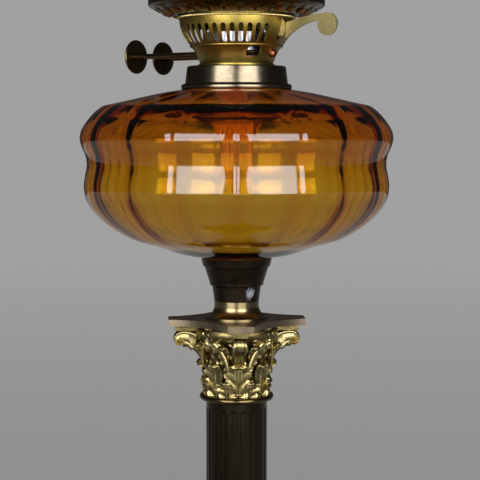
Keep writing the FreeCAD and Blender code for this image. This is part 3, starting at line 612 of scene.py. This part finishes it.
# ---- Chimney -------------------------------------------------------------------------------------
# A blown clear glass chimney with a bulge at the flame, standing in the gallery's prongs.

clear, clear_shader = shader("clear_glass", Roughness=0.0, IOR=1.5, Transmission_Weight=1.0,
                             Base_Color=(0.98, 1, 0.99, 1))
let_light_in(clear, clear_shader, (0.92, 0.94, 0.93))
finish_nodes(clear, "chimney_glass")


# ---- Studio --------------------------------------------------------------------------------------
# A pale round floor, two soft boxes beside the camera and a room of the same grey. The room is dim for
# everything but the camera and the glass, so the boxes do the lighting.

VIEW = math.radians(41.5)
BACK = Vector((math.sin(VIEW), -math.cos(VIEW), 0))
SIDE = Vector((math.cos(VIEW), math.sin(VIEW), 0))
EYE_HEIGHT = 0.457
EYE_REACH = 0.812

camera_data = bpy.data.cameras.new("camera")
camera_data.lens = 105
camera_data.sensor_width = 36
camera = bpy.data.objects.new("camera", camera_data)
bpy.context.scene.collection.objects.link(camera)
bpy.context.scene.camera = camera
eye = BACK * EYE_REACH + Vector((0, 0, EYE_HEIGHT))
aim = SIDE * 0.0020 + Vector((0, 0, EYE_HEIGHT - EYE_REACH * math.tan(math.radians(4.57))))
camera.location = eye
camera.rotation_euler = (aim - eye).to_track_quat("-Z", "Y").to_euler()

for name, bearing in (("softbox_left", -28.5), ("softbox_right", 27.5)):
    lamp = bpy.data.lights.new(name, "AREA")
    lamp.shape = "RECTANGLE"
    lamp.size = 0.62
    lamp.size_y = 0.52
    lamp.energy = 9.0
    box = bpy.data.objects.new(name, lamp)
    bpy.context.scene.collection.objects.link(box)
    toward = Matrix.Rotation(math.radians(bearing), 3, "Z") @ BACK
    box.location = toward * 0.85 + Vector((0, 0, EYE_HEIGHT + 0.12))
    box.rotation_euler = (Vector((0, 0, EYE_HEIGHT)) - box.location).to_track_quat("-Z", "Y").to_euler()

world = bpy.data.worlds.new("room")
bpy.context.scene.world = world
world.use_nodes = True
room = world.node_tree
ray = room.nodes.new("ShaderNodeLightPath")
shown = room.nodes.new("ShaderNodeMath")
shown.operation = "MAXIMUM"
room.links.new(ray.outputs["Is Camera Ray"], shown.inputs[0])
room.links.new(ray.outputs["Is Transmission Ray"], shown.inputs[1])
tone = room.nodes.new("ShaderNodeMix")
tone.data_type = "RGBA"
tone.inputs[6].default_value = (0.045, 0.045, 0.047, 1)
tone.inputs[7].default_value = (0.355, 0.355, 0.352, 1)
room.links.new(shown.outputs[0], tone.inputs["Factor"])
room.links.new(tone.outputs[2], room.nodes["Background"].inputs["Color"])

floor = bmesh.new()
bmesh.ops.create_circle(floor, cap_ends=True, radius=4.0, segments=128)
floor_mesh = bpy.data.meshes.new("floor")
floor.to_mesh(floor_mesh)
floor.free()
backdrop = bpy.data.objects.new("floor", floor_mesh)
bpy.context.scene.collection.objects.link(backdrop)
paper, paper_shader = shader("backdrop_paper", Roughness=0.9, Base_Color=(0.42, 0.42, 0.42, 1))
# Seen directly, in glass or in metal, the floor glows grey instead of taking light, painted darker toward the
# middle as painted shade, and meets the room's grey at its edge.
fade = add_node(paper, "ShaderNodeVectorMath", operation="LENGTH")
link(paper, place(paper, (0.25, 0.25, 0.25)), fade.inputs[0])
painted_falloff_greys = [(0.27, 0.27, 0.267), (0.32, 0.32, 0.317), (0.355, 0.355, 0.352)]
grey = spread(paper, fade.outputs["Value"], 0.2, 1.0, painted_falloff_greys)
glow = add_node(paper, "ShaderNodeEmission")
link(paper, grey, glow.inputs["Color"])
path = add_node(paper, "ShaderNodeLightPath")
seen = add_node(paper, "ShaderNodeMath", operation="MAXIMUM")
link(paper, path.outputs["Is Camera Ray"], seen.inputs[0])
link(paper, path.outputs["Is Transmission Ray"], seen.inputs[1])
seen_all = add_node(paper, "ShaderNodeMath", operation="MAXIMUM")
link(paper, seen.outputs[0], seen_all.inputs[0])
link(paper, path.outputs["Is Glossy Ray"], seen_all.inputs[1])
blend = add_node(paper, "ShaderNodeMixShader")
link(paper, seen_all.outputs[0], blend.inputs["Fac"])
link(paper, paper_shader.outputs["BSDF"], blend.inputs[1])
link(paper, glow.outputs["Emission"], blend.inputs[2])
link(paper, blend.outputs["Shader"], paper.node_tree.nodes["Material Output"].inputs["Surface"])
floor_mesh.materials.append(paper)

bpy.context.scene.view_settings.view_transform = "Standard"
